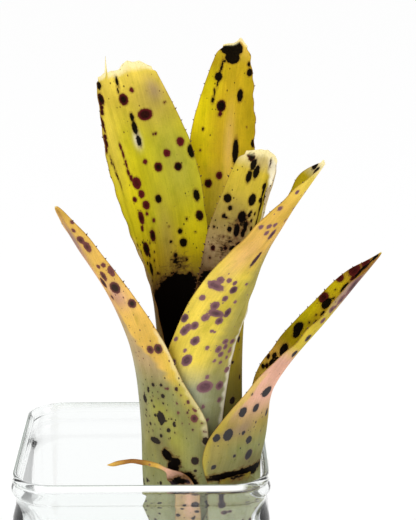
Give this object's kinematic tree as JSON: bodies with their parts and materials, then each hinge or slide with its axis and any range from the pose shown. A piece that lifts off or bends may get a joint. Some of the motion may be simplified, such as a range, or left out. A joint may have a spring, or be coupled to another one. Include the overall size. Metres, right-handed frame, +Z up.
{
  "type": "potted bromeliad",
  "caption": "Spotted neoregelia with a tubular rosette of channelled strap leaves, standing in one corner of a square clear glass jar.",
  "frame": {"origin": "centre of the glass jar's flat underside, where it stands on the table", "axes": "+Z up, X and Y square to the jar's sides; the plant stands in the +X -Y corner and its tallest leaves lean towards +Y"},
  "size_m": [0.1424, 0.1, 0.2575],
  "materials": {
    "living_leaf": "waxy leaf, yellow-green with maroon-black spots",
    "dry_leaf": "dry papery leaf",
    "stem": "fibrous brown stub",
    "glass": "clear polished glass"
  },
  "bodies": {
    "root": {"leaf_back_right": "living_leaf", "leaf_back_left": "living_leaf", "leaf_back": "living_leaf", "leaf_front": "living_leaf", "leaf_left": "living_leaf", "leaf_right": "living_leaf", "withered_leaf": "dry_leaf", "old_leaf_stub": "dry_leaf", "stem": "stem", "jar": "glass"}
  },
  "joints": []
}
